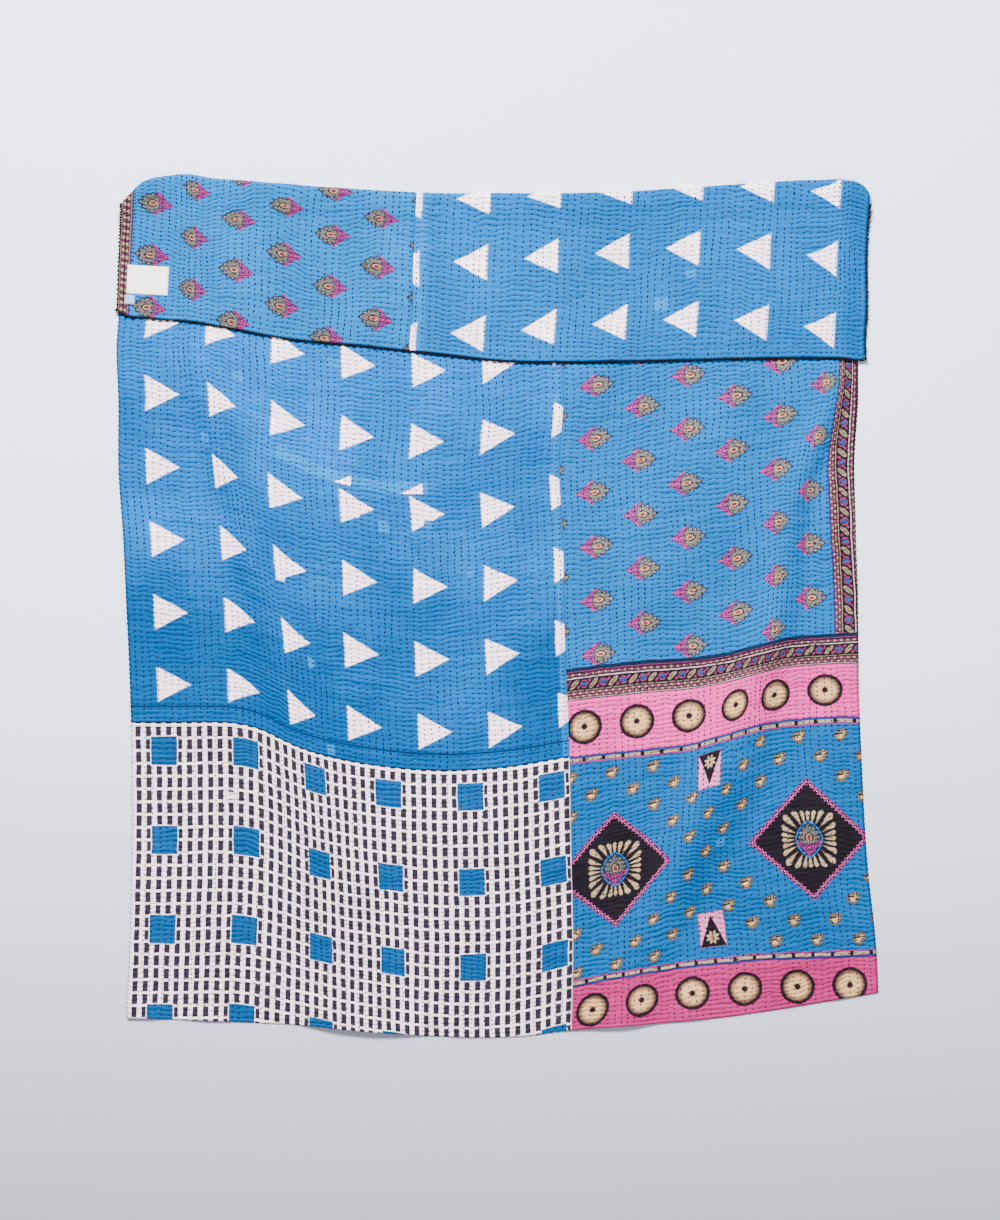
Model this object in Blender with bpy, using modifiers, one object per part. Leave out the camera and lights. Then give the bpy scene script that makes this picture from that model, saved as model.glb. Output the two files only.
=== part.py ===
"""Kantha quilt: one stitched cloth laid face up, its top end turned over to the front as a flap.

Metres, +Z up. The origin is on the floor at the middle of the quilt, +Y runs from hem to top fold.
The cloth is a sheet of two places: across, from its left edge, and along, up from its hem.
"""

import bpy
import numpy as np

# Driving dimensions, in metres.
CLOTH_WIDTH = 1.544
CLOTH_THICKNESS = 0.003
LAYER_GAP = 0.004  # air between the flap and the cloth under it
FOLD_RADIUS = 0.009  # outer radius of the turned top edge
FOLD_SETTLE = 0.070  # how far from the fold the flap takes to sink on to the cloth
SEAM_LEVEL = 0.574  # height up the cloth of the cross seam
BORDER_LEVEL = 0.754  # height up the cloth of the top of the printed border
UPPER_LEVEL = 1.238  # height up the cloth of the highest printed row that is clear of the flap
FLAP_TAKE_UP = 0.65  # share of each fold's take-up that is left at the flap's free edge

RIB_PITCH = 0.0544  # four stitch rows to a raised rib
RIB_HEIGHT = 0.0012
BODY_ROWS = 36
FOLD_ROWS = 7
FLAP_ROWS = 7

LABEL_SIZE = (0.082, 0.057)
LABEL_CENTRE = (-0.701, 0.651)
LABEL_TURN = -0.055  # radians, how far the label is sewn from square
CARE_LABEL_SIZE = (0.020, 0.019)
CARE_LABEL_CENTRE = (-0.7370, 0.6125)
CARE_LABEL_TURN = -0.10
LABEL_THICKNESS = 0.001
SEWN_GAP = 0.0003

MILLIMETRE = 0.001

# How the cloth lies, at stations across it, in millimetres.
# across: place from the left edge. hem_at: where the uneven hem falls up the cloth.
# hem_y, seam_y, border_y, upper_y, fold_y: how far up the floor the hem, the three levels and the
# top fold lie. fold_at: where the fold falls up the cloth. free_y: the flap's free edge.
STATIONS = np.array(
    [
        # across, hem_at, hem_y, seam_y, border_y, upper_y, fold_at, fold_y, free_y
        (0, -6, -823, -233, -55, 431, 1612, 803, 589),
        (40, -7, -824, -233, -55, 429, 1648, 845, 579),
        (90, -8, -826, -233, -56, 427, 1668, 859, 575),
        (220, -14, -831, -236, -63, 411, 1684, 853, 561),
        (370, 2, -839, -285, -111, 371, 1712, 841, 535),
        (520, 14, -851, -317, -137, 343, 1730, 831, 521),
        (660, 26, -860, -329, -150, 331, 1736, 825, 506),
        (800, 20, -861, -321, -141, 345, 1724, 824, 491),
        (920, 5, -847, -301, -125, 357, 1708, 825, 489),
        (1080, -16, -835, -284, -107, 378, 1690, 831, 491),
        (1160, -20, -829, -274, -102, 384, 1685, 836, 493),
        (1240, -17, -821, -255, -92, 395, 1680, 841, 495),
        (1310, -12, -811, -239, -77, 405, 1674, 846, 496),
        (1400, 1, -797, -226, -61, 418, 1668, 851, 497),
        (1480, 12, -783, -220, -55, 428, 1666, 849, 495),
        (1530, 18, -775, -219, -52, 431, 1655, 839, 493),
        (1550, 20, -771, -219, -51, 432, 1640, 821, 493),
    ]
)
STATION_NAMES = (
    "hem_at",
    "hem_y",
    "seam_y",
    "border_y",
    "upper_y",
    "fold_at",
    "fold_y",
    "free_y",
)

# The left edge of the cloth, in millimetres: its place across the floor at heights up the floor.
EDGE = np.array(
    [
        # y, left_x
        (-830, -744),
        (-640, -738),
        (-490, -734),
        (-230, -736),
        (0, -745),
        (150, -752),
        (270, -761),
        (420, -761),
        (520, -765),
        (590, -760),
        (700, -758),
        (810, -754),
        (860, -752),
    ]
)

# The two soft folds that run down from the top fold, in millimetres: at heights up the floor, the
# place of the crest, the width and height of the ridge, and the length of cloth it takes up.
LEFT_FOLD = np.array(
    [
        # y, crest_x, width, height, take_up
        (-870, -258, 300, 16, 28),
        (-650, -308, 290, 27, 33),
        (-490, -338, 255, 34, 38),
        (-270, -390, 215, 36, 39),
        (-40, -438, 180, 34, 39),
        (100, -490, 135, 28, 38),
        (240, -524, 120, 26, 35),
        (410, -576, 128, 22, 27),
        (550, -597, 120, 18, 27),
        (700, -608, 100, 14, 24),
        (870, -614, 84, 11, 20),
    ]
)
RIGHT_FOLD = np.array(
    [
        # y, crest_x, width, height, take_up
        (-870, 196, 240, 6, 10),
        (-690, 282, 240, 14, 18),
        (-540, 346, 225, 25, 34),
        (-370, 432, 205, 32, 44),
        (-200, 490, 160, 33, 51),
        (20, 560, 115, 28, 48),
        (130, 576, 104, 27, 48),
        (235, 592, 100, 25, 42),
        (340, 632, 100, 23, 40),
        (445, 674, 90, 20, 38),
        (640, 684, 90, 16, 34),
        (870, 692, 88, 12, 28),
    ]
)
FOLD_NAMES = ("crest_x", "width", "height", "take_up")


def smooth_curve(at, places, values):
    """A smooth line through the table's points: cubic pieces whose slopes are the neighbours' chords."""
    slopes = np.gradient(values, places)
    piece = np.clip(np.searchsorted(places, at) - 1, 0, len(places) - 2)
    span = places[piece + 1] - places[piece]
    t = np.clip((at - places[piece]) / span, 0, 1)
    start = (1 + 2 * t) * (1 - t) ** 2 * values[piece] + t * (1 - t) ** 2 * span * slopes[piece]
    end = t**2 * (3 - 2 * t) * values[piece + 1] + t**2 * (t - 1) * span * slopes[piece + 1]
    return start + end


def read_table(table, names, at):
    """The named columns of a table in millimetres, read along its first column, in metres."""
    places = table[:, 0] * MILLIMETRE
    columns = (table[:, 1:] * MILLIMETRE).T
    return {name: smooth_curve(at, places, column) for name, column in zip(names, columns)}


def stations_at(across):
    return read_table(STATIONS, STATION_NAMES, across)


def ease(t):
    """Nought below 0, one above 1, and half a cosine wave between."""
    return (1 - np.cos(np.pi * np.clip(t, 0, 1))) / 2


def ridge_height(x, y):
    """How far the folds lift the cloth off the floor: across each, one full cosine wave."""
    height = np.zeros_like(x)
    for table in (LEFT_FOLD, RIGHT_FOLD):
        fold = read_table(table, FOLD_NAMES, y)
        reach = np.clip((x - fold["crest_x"]) / fold["width"], -0.5, 0.5)
        height += fold["height"] * (1 + np.cos(2 * np.pi * reach)) / 2
    return height


def place_across(across, y, share):
    """Place on the floor of a point of the cloth: its own place, less what each fold takes up."""
    left = read_table(EDGE, ("left_x",), y)["left_x"]
    x = left + across
    taken = np.zeros_like(x)
    for table in (LEFT_FOLD, RIGHT_FOLD):
        fold = read_table(table, FOLD_NAMES, y)
        take_up = fold["take_up"] * share
        middle = fold["crest_x"] - left + taken + take_up / 2
        used = take_up * ease((across - middle) / (fold["width"] + take_up) + 0.5)
        x = x - used
        taken = taken + take_up
    return x


def body_points(across, part):
    """The cloth on the floor, from its hem (part 0) to where it starts to turn over (part 1).

    Between one level and the next its height up the floor follows its height up the cloth evenly.
    """
    lie = stations_at(across)
    along = lie["hem_at"] + part * (lie["fold_at"] - lie["hem_at"])
    turn_y = lie["fold_y"] - FOLD_RADIUS
    y = lie["hem_y"]
    levels = (
        (lie["hem_at"], lie["hem_y"], SEAM_LEVEL, lie["seam_y"]),
        (SEAM_LEVEL, lie["seam_y"], BORDER_LEVEL, lie["border_y"]),
        (BORDER_LEVEL, lie["border_y"], UPPER_LEVEL, lie["upper_y"]),
        (UPPER_LEVEL, lie["upper_y"], lie["fold_at"], turn_y),
    )
    for level, level_y, next_level, next_y in levels:
        share = np.clip((along - level) / (next_level - level), 0, 1)
        y = y + share * (next_y - level_y)
    x = place_across(across, y, 1.0)
    return np.stack([x, y, ridge_height(x, y)], axis=-1)


def fold_points(across, part):
    """The turned top edge: a half circle in each upright section, part 0 at the floor, 1 on top."""
    lie = stations_at(across)
    turn = np.pi * part
    turn_y = lie["fold_y"] - FOLD_RADIUS
    x = place_across(across, turn_y, 1.0)
    y = turn_y + FOLD_RADIUS * np.sin(turn)
    z = ridge_height(x, turn_y) + FOLD_RADIUS * (1 - np.cos(turn))
    return np.stack([x, y, z], axis=-1)


def flap_points(across, part):
    """The flap, back of the cloth up, from the fold (part 0) to its free edge (part 1)."""
    lie = stations_at(across)
    turn_y = lie["fold_y"] - FOLD_RADIUS
    y = turn_y + part * (lie["free_y"] - turn_y)
    x = place_across(across, y, 1 + part * (FLAP_TAKE_UP - 1))
    resting = 2 * CLOTH_THICKNESS + LAYER_GAP
    sinking = 1 - ease((turn_y - y) / FOLD_SETTLE)
    z = ridge_height(x, y) + resting + sinking * (2 * FOLD_RADIUS - resting)
    return np.stack([x, y, z], axis=-1)


def new_material(name, colour, roughness):
    material = bpy.data.materials.new(name)
    material.use_nodes = True
    shader = material.node_tree.nodes["Principled BSDF"]
    shader.inputs["Base Color"].default_value = (*colour, 1.0)
    shader.inputs["Roughness"].default_value = roughness
    shader.inputs["Metallic"].default_value = 0.0
    return material


def sheet_object(name, points, thickness, material, collection):
    """A grid of points as an open surface, thickened upwards from its first face by Solidify."""
    rows, columns = points.shape[:2]
    mesh = bpy.data.meshes.new(name)
    number = np.arange(rows * columns).reshape(rows, columns)
    quads = np.stack([number[:-1, :-1], number[:-1, 1:], number[1:, 1:], number[1:, :-1]], axis=-1)
    mesh.from_pydata(points.reshape(-1, 3).tolist(), [], quads.reshape(-1, 4).tolist())
    mesh.materials.append(material)
    sheet = bpy.data.objects.new(name, mesh)
    collection.objects.link(sheet)
    solidify = sheet.modifiers.new("Thickness", "SOLIDIFY")
    solidify.thickness = thickness
    solidify.offset = 1.0
    solidify.use_even_offset = True
    return sheet


def raise_ribs(sheet, columns, rows):
    """Applies the thickness, then lifts every second column of the face that lies uppermost."""
    evaluated = sheet.evaluated_get(bpy.context.evaluated_depsgraph_get())
    solid = bpy.data.meshes.new_from_object(evaluated)
    sheet.modifiers.clear()
    sheet.data = solid
    points = np.empty(len(solid.vertices) * 3)
    solid.vertices.foreach_get("co", points)
    front, back = points.reshape(2, rows, columns, 3)
    outward = (front - back) / np.linalg.norm(front - back, axis=2, keepdims=True)
    rib = (np.arange(columns) % 2 * RIB_HEIGHT)[:, None]
    front[: BODY_ROWS + 1] += outward[: BODY_ROWS + 1] * rib
    back[BODY_ROWS + 1 :] -= outward[BODY_ROWS + 1 :] * rib
    solid.vertices.foreach_set("co", points)
    solid.update()


def make_quilt(collection):
    """One cloth in one section: along the floor, round the top fold, and back as the flap."""
    columns = round(CLOTH_WIDTH / RIB_PITCH) * 2 + 1
    across = np.linspace(0, CLOTH_WIDTH, columns)
    body = body_points(*np.meshgrid(across, np.linspace(0, 1, BODY_ROWS + 1)))
    fold = fold_points(*np.meshgrid(across, np.linspace(0, 1, FOLD_ROWS + 1)[1:]))
    flap = flap_points(*np.meshgrid(across, np.linspace(0, 1, FLAP_ROWS + 1)[1:]))
    points = np.concatenate([body, fold, flap])
    cotton = new_material("quilted cotton", (0.07, 0.30, 0.62), 0.9)
    quilt = sheet_object("quilt", points, CLOTH_THICKNESS, cotton, collection)
    raise_ribs(quilt, columns, len(points))


def sewn_label(name, size, centre, turn, material, collection):
    """A small flat tape that lies on the flap's ribs."""
    along = np.linspace(-0.5, 0.5, 3)
    right, up = np.meshgrid(along * size[0], along * size[1])
    x = centre[0] + right * np.cos(turn) - up * np.sin(turn)
    y = centre[1] + right * np.sin(turn) + up * np.cos(turn)
    top_of_flap = 2 * CLOTH_THICKNESS + LAYER_GAP + RIB_HEIGHT
    z = np.full_like(x, top_of_flap + SEWN_GAP)
    sheet_object(name, np.stack([x, y, z], axis=-1), LABEL_THICKNESS, material, collection)


def main():
    for thing in list(bpy.data.objects):
        bpy.data.objects.remove(thing)
    collection = bpy.data.collections.new("kantha quilt")
    bpy.context.scene.collection.children.link(collection)
    make_quilt(collection)
    tape = new_material("woven label tape", (0.84, 0.80, 0.74), 0.7)
    sewn_label("label", LABEL_SIZE, LABEL_CENTRE, LABEL_TURN, tape, collection)
    satin = new_material("printed satin tape", (0.80, 0.82, 0.90), 0.5)
    sewn_label("care_label", CARE_LABEL_SIZE, CARE_LABEL_CENTRE, CARE_LABEL_TURN, satin, collection)


main()
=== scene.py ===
import math
from functools import partial, partialmethod, reduce

import bpy
import numpy as np
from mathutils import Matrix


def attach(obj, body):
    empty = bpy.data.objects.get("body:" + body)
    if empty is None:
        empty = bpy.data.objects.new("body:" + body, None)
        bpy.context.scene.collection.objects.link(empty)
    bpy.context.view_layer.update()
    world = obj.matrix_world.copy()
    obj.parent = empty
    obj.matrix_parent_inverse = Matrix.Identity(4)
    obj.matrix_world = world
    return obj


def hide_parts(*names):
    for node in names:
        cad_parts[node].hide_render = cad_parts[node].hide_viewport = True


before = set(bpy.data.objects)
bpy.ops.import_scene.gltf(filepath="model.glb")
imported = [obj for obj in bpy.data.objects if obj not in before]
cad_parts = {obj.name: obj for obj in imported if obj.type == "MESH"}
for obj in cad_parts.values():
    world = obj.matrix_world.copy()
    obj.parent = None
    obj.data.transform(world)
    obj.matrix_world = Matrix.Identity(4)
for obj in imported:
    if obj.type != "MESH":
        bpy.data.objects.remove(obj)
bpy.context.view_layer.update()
print("frame loaded:", ", ".join(sorted(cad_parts)))

mm = 0.001

# ---- How the cloth lies. A place on the cloth is (across, along): across from its left edge, along
# up from its hem, over the top fold and down the flap to its free edge.

cloth = {
    "width": 1.544,
    "thickness": 0.003,
    "layerGap": 0.004,  # air between the flap and the cloth under it
    "foldRadius": 0.009,  # outer radius of the turned top edge
    "foldSettle": 0.070,  # how far from the fold the flap takes to sink on to the cloth
    "levels": (0.574, 0.754, 1.238),  # cross seam, border, and a level near the fold
    "flapTakeUp": 0.65,  # share of each fold's take-up left at the free edge
    "foldShare": 0.78,  # share of each fold's greatest height at which worn cloth settles
    "restingLift": 0.0022,  # height of the shallow waves between the folds
    "flapLean": 0.02,  # how much the flap swings to the left on its way down
}

# Tables in millimetres, as in the solid: stations across the cloth, and y for its left edge and folds.
stations = "hemAt hemY seamY borderY upperY foldAt foldY freeY", [
    (0, -6, -823, -233, -55, 431, 1612, 803, 589), (40, -7, -824, -233, -55, 429, 1648, 845, 579),
    (90, -8, -826, -233, -56, 427, 1668, 859, 575), (220, -14, -831, -236, -63, 411, 1684, 853, 561),
    (370, 2, -839, -285, -111, 371, 1712, 841, 535), (520, 14, -851, -317, -137, 343, 1730, 831, 521),
    (660, 26, -860, -329, -150, 331, 1736, 825, 506), (800, 20, -861, -321, -141, 345, 1724, 824, 491),
    (920, 5, -847, -301, -125, 357, 1708, 825, 489), (1080, -16, -835, -284, -107, 378, 1690, 831, 491),
    (1160, -20, -829, -274, -102, 384, 1685, 836, 493), (1240, -17, -821, -255, -92, 395, 1680, 841, 495),
    (1310, -12, -811, -239, -77, 405, 1674, 846, 496), (1400, 1, -797, -226, -61, 418, 1668, 851, 497),
    (1480, 12, -783, -220, -55, 428, 1666, 849, 495), (1530, 18, -775, -219, -52, 431, 1655, 839, 493),
    (1550, 20, -771, -219, -51, 432, 1640, 821, 493),
]
leftEdge = "leftX", [
    (-830, -744), (-640, -738), (-490, -734), (-230, -736), (0, -745), (150, -752), (270, -761),
    (420, -761), (520, -765), (590, -760), (700, -758), (810, -754), (860, -752),
]
leftFold = "crestX width height takeUp", [
    (-870, -258, 300, 16, 28), (-650, -308, 290, 27, 33), (-490, -338, 255, 34, 41),
    (-270, -390, 215, 36, 44), (-40, -438, 180, 34, 45), (100, -490, 135, 28, 41),
    (240, -524, 120, 26, 39), (410, -576, 128, 22, 30), (550, -597, 120, 18, 27),
    (700, -608, 100, 14, 24), (870, -614, 84, 11, 20),
]
rightFold = "crestX width height takeUp", [
    (-870, 196, 240, 6, 10), (-690, 282, 240, 14, 18), (-540, 346, 225, 25, 31), (-370, 432, 205, 32, 39),
    (-200, 490, 160, 27, 42), (20, 560, 115, 22, 37), (130, 576, 104, 22, 39), (235, 592, 100, 25, 35),
    (340, 632, 100, 23, 36), (445, 674, 90, 20, 35), (640, 684, 90, 16, 34), (870, 692, 88, 12, 28),
]


# A smooth line through points: cubic pieces whose slopes are the neighbours' chords.
def smoothCurve(at, places, values):
    slopes = np.gradient(values, places)
    piece = np.clip(np.searchsorted(places, at) - 1, 0, len(places) - 2)
    span = places[piece + 1] - places[piece]
    t = np.clip((at - places[piece]) / span, 0, 1)
    start = (1 + 2 * t) * (1 - t) ** 2 * values[piece] + t * (1 - t) ** 2 * span * slopes[piece]
    return start + t**2 * (3 - 2 * t) * values[piece + 1] + t**2 * (t - 1) * span * slopes[piece + 1]


# The named columns of a table, read along its first column, in metres.
def readTable(table, at):
    names, rows = table
    places, *columns = (np.array(rows) * mm).T
    return {name: smoothCurve(at, places, column) for name, column in zip(names.split(), columns)}


# Nought below 0, one above 1, and half a cosine wave between.
def ease(t):
    return (1 - np.cos(np.pi * np.clip(t, 0, 1))) / 2


# Smooth noise of about unit size: cosine waves with random directions and phases, added up.
def softNoise(across, along, waveAcross, waveAlong, seed, waves=16):
    random = np.random.default_rng(seed)
    total = np.zeros_like(across)
    for turn, stretch, phase in random.uniform((0, 0.7, 0), (1, 1.5, 2), (waves, 3)):
        angle = 2 * np.pi * turn
        step = across * np.cos(angle) / waveAcross + along * np.sin(angle) / waveAlong
        total += np.cos(2 * np.pi * step * stretch + np.pi * phase)
    return total * math.sqrt(2 / waves)


# Height off the floor: a full cosine wave across each fold, and shallow rests between.
def floorLift(x, y):
    height = np.zeros_like(x)
    for table in (leftFold, rightFold):
        fold = readTable(table, y)
        reach = np.clip((x - fold["crestX"]) / fold["width"], -0.5, 0.5)
        height += cloth["foldShare"] * fold["height"] * (1 + np.cos(2 * np.pi * reach)) / 2
    return height + cloth["restingLift"] * np.clip(softNoise(x, y, 0.17, 0.30, seed=5), 0, None)


# Place across the floor: the left edge, plus the place on the cloth, less what each fold takes up.
def placeAcross(across, y, share):
    left = readTable(leftEdge, y)["leftX"]
    x, taken = left + across, 0
    for table in (leftFold, rightFold):
        fold = readTable(table, y)
        takeUp = fold["takeUp"] * share
        middle = fold["crestX"] - left + taken + takeUp / 2
        x = x - takeUp * ease((across - middle) / (fold["width"] + takeUp) + 0.5)
        taken = taken + takeUp
    return x


# How far along the cloth its free edge lies: to the fold, round it, and down the flap.
def freeEdgeAt(across):
    lie = readTable(stations, across)
    radius = cloth["foldRadius"]
    return lie["foldAt"] + np.pi * radius + lie["foldY"] - radius - lie["freeY"]


# The cloth's back: along the floor from level to level, round a half circle, and down the flap,
# which sinks to rest on the cloth below.
def backSurface(across, along):
    lie = readTable(stations, across)
    radius = cloth["foldRadius"]
    turnY = lie["foldY"] - radius
    levels = (lie["hemAt"], *cloth["levels"], lie["foldAt"])
    heights = (lie["hemY"], lie["seamY"], lie["borderY"], lie["upperY"], turnY)
    y = lie["hemY"]
    for level, nextLevel, levelY, nextY in zip(levels, levels[1:], heights, heights[1:]):
        y = y + np.clip((along - level) / (nextLevel - level), 0, 1) * (nextY - levelY)
    turn = np.clip((along - lie["foldAt"]) / radius, 0, np.pi)
    beyond = np.clip(along - lie["foldAt"] - np.pi * radius, 0, None)
    part = beyond / (turnY - lie["freeY"])
    y = y - beyond
    x = placeAcross(across, y, 1 - part * (1 - cloth["flapTakeUp"])) - cloth["flapLean"] * beyond
    resting = 2 * cloth["thickness"] + cloth["layerGap"]
    sinking = ease(beyond / cloth["foldSettle"])
    z = floorLift(x, y) + radius * (1 - np.cos(turn)) - sinking * (2 * radius - resting)
    return np.stack([x, y + radius * np.sin(turn), z], axis=-1)


# ---- The stitched lattice: columns on the stitch rows and between them, rows a quarter of a stitch apart

stitching = {
    "length": 2.0536,
    "hemReach": 0.22,  # how far up the rows follow the hem's line
    "flapFrom": 1.36,  # from where on they follow the free edge's
    "drift": (0.0065, 0.12, 50),  # slow wander along the cloth; clear of the ends, and of seams in rows
    "waver": (0.0015, 0.03, 10),  # quick wander from one row to the next, and the same
    "sideWander": (0.0010, 4),  # and clear of the seams in columns
    "ripple": 0.00085,  # half the height from trough to crest
    "profile": (-1.0, 0.35, 1.0, 0.35),  # trough, flank, crest, flank
    "weakest": 0.25,
    "strongest": 1.7,
    "tuft": 0.00030,  # how much higher the cloth stands between two rows of stitch
    "pucker": 0.00040,  # wider, gathered creases across the stitch rows
    "seamHeight": -0.00033,
    "allowanceHeight": 0.0010,
    "scallop": 0.0008,  # how far the cloth bulges at its edges between two stitches
    "baseThickness": 0.0020,
}
seamRow, borderRow, hiddenRow, freeRow = 244, 292, 620, 872  # four to each stitch, so 9.4 mm stitches
flapSeamColumn, seamColumn, lastColumn = 87, 131, 220  # two to each row of stitch, so rows 14 mm apart
tuckRow = 258  # top of the folded seam allowance above the cross seam
tuckLevel = stitching["length"] * tuckRow / freeRow


# Even steps, eased to follow the hem and the free edge, plus a hand-sewn wander that dies out at
# edges and seams; the edges bulge between the stitches that draw them in.
def latticePlaces():
    columns, rows, length, bulge = lastColumn, freeRow, stitching["length"], stitching["scallop"]
    column, row = np.meshgrid(np.arange(columns + 1.0), np.arange(rows + 1.0))
    across, even = cloth["width"] * column / columns, length * row / rows
    (drift, driftEnd, driftSeam), (waver, waverEnd, waverSeam) = stitching["drift"], stitching["waver"]
    (sideWander, sideSeam), start = stitching["sideWander"], stitching["flapFrom"]
    along = even + readTable(stations, across)["hemAt"] * (1 - ease(even / stitching["hemReach"]))
    along = along + (freeEdgeAt(across) - length) * ease((even - start) / (length - start))
    fromEnd, fromSeams = length - even, np.maximum(seamRow - row, row - borderRow)
    driftClear = ease(even / driftEnd) * ease(fromEnd / driftEnd) * ease(fromSeams / driftSeam)
    waverClear = ease(even / waverEnd) * ease(fromEnd / waverEnd)
    for seam in (seamRow, tuckRow, borderRow):
        waverClear = waverClear * ease(abs(row - seam) / waverSeam)
    drift = softNoise(across, along, 0.34, 0.5, seed=1) * drift * driftClear
    waver = softNoise(across, along, 0.05, 0.13, seed=2) * waver * waverClear
    sideways = softNoise(across, along, 0.06, 0.22, seed=3) * sideWander
    for seam in (0, flapSeamColumn, seamColumn, lastColumn):
        sideways = sideways * ease(abs(column - seam) / sideSeam)
    sideBulge = bulge * np.cos(np.pi * row / 2) * ((column == 0) * 1.0 - (column == columns))
    endBulge = bulge * np.cos(np.pi * column) * ((row == 0) * 1.0 - (row == rows))
    return across + sideways + sideBulge, along + drift + waver + endBulge


# Relief: a wave with a narrow trough at every stitch, its strength changing, and wider creases over it. The
# second result is the shade painted at each place: most at the stitches themselves, and also along the seams
# and at the edges.
def quiltingRelief(across, along):
    row, column = np.indices(across.shape)
    perStitch = np.random.default_rng(11).standard_normal((freeRow // 4 + 1, lastColumn + 1))
    strength = 0.9 + 0.35 * softNoise(across, along, 0.16, 0.22, seed=4) + 0.3 * perStitch[row // 4, column]
    strength = np.clip(strength, stitching["weakest"], stitching["strongest"])
    between = column % 2
    slip = np.rint(0.6 * softNoise(across, along, 0.030, 0.034, seed=8, waves=24)).astype(int) * between
    step = (row + slip) % 4
    wave = np.array(stitching["profile"])[step] * stitching["ripple"] * strength
    relief = wave * np.where(between, 0.8, 1.0) + between * stitching["tuft"] * strength
    relief = relief + stitching["ripple"] * 1.3
    relief = relief + stitching["pucker"] * softNoise(across, along, 0.20, 0.026, seed=6, waves=24)
    isLeft = column <= seamColumn
    crossSeam = ((row == seamRow) | (row == tuckRow)) & isLeft | (row == borderRow) & (column >= seamColumn)
    longSeam = (column == seamColumn) & (row <= hiddenRow) | (column == flapSeamColumn) & (row > hiddenRow)
    allowance = (row > seamRow) & (row < tuckRow) & isLeft
    relief = relief + allowance * stitching["allowanceHeight"] + patchRelief(across / mm, along / mm)
    relief = np.where(crossSeam | longSeam, stitching["seamHeight"], relief)
    atEdge = (column == 0) | (column == lastColumn) | (row == 0) | (row == freeRow)
    # Painted shade: darker in the stitch troughs, darkest along the cross seams and tuck, faint along the
    # long seams, and middling at the edges.
    paintedShade = np.where(step == 0, np.clip(strength, 0, 1.2) * np.where(between, 0.8, 1.2), 0.0)
    paintedShade = np.select([crossSeam, longSeam, atEdge], [1.3, 0.1, 0.6], paintedShade)
    return np.where(atEdge, -0.0004, relief), paintedShade


# Mends, in millimetres on the cloth: middle across and along, half width, half height, turn.
mends = {
    "field": (
        (269, 1302, 12, 13, 0.1), (179, 1156, 12, 12, 0.0), (460, 1377, 15, 12, -0.1),
        (562, 1057, 12, 14, 0.05), (652, 1069, 9, 10, 0.0), (733, 966, 9, 8, 0.1),
        (403, 760, 9, 12, 0.0), (436, 590, 10, 11, 0.1),
    ),
    "bands": ((1247, 348, 12, 9, 0.0),),
    "flap": ((1165, 167, 12, 11, 0.1), (1108, 108, 16, 15, 0.05)),
    "pale": ((350, 918, 9, 9, 0.0), (505, 1080, 11, 11, 0.0)),
    "check": ((196, 431, 9, 8, 0.0),),
}
longMend = {
    "ends": (350.0, 655.0),
    "lowest": (575.0, 1140.0),
    "bow": 0.00068,
    "half": 12.0,
    "cutTriangles": ((468.0, 503.0), (598.0, 645.0)),  # tip, straight side
}


# Half a millimetre higher inside each mend, eased down over 3 mm at its edge.
def patchRelief(u, v):
    height = np.zeros_like(u)
    for middleU, middleV, halfWidth, halfHeight, turn in mends["field"] + mends["bands"]:
        away = np.maximum(abs(u - middleU) - halfWidth, abs(v - middleV) - halfHeight)
        height = np.maximum(height, ease((1 - away) / 3))
    (first, last), (lowestU, lowestV) = longMend["ends"], longMend["lowest"]
    fromMiddle = abs(v - lowestV - longMend["bow"] * (u - lowestU) ** 2) - longMend["half"]
    away = np.maximum(fromMiddle, np.maximum(first - u, u - last))
    return np.maximum(height, ease((1 - away) / 3)) * 0.0005


across, along = latticePlaces()
relief, paintedShade = quiltingRelief(across, along)
back = backSurface(across, along)
# Unit normals towards the front: the cross product of the lattice's two slopes.
normals = np.cross(np.gradient(back, axis=1), np.gradient(back, axis=0))
normals = normals / np.linalg.norm(normals, axis=2, keepdims=True)
front = back + normals * cloth["thickness"]
frontFace = back + normals * (stitching["baseThickness"] + relief)[..., None]
pastFold = along - readTable(stations, across)["foldAt"]
grown = ease(pastFold / (np.pi * cloth["foldRadius"]))  # the turned face lies flat where it is underneath
flapFace = back - normals * ((relief - 0.0004) * grown)[..., None]
fromFreeEdge = freeEdgeAt(across) - along
print("cloth laid out:", across.shape)

# ---- Meshes


# A mesh object at the origin from points and faces, with its materials.
def newPiece(name, points, faces, materials):
    mesh = bpy.data.meshes.new(name)
    mesh.from_pydata(points.reshape(-1, 3).tolist(), [], faces)
    for material in materials:
        mesh.materials.append(material)
    mesh.shade_smooth()
    piece = bpy.data.objects.new(name, mesh)
    bpy.context.scene.collection.objects.link(piece)
    return piece


# The faces of a grid of numbered points.
def gridFaces(number):
    faces = [number[:-1, :-1], number[:-1, 1:], number[1:, 1:], number[1:, :-1]]
    return np.stack(faces, axis=-1).reshape(-1, 4)


# Once round the border of such a grid, without the last step.
def roundBorder(number):
    return np.concatenate([number[0, :-1], number[:-1, -1], number[-1, :0:-1], number[:0:-1, 0]])


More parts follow.
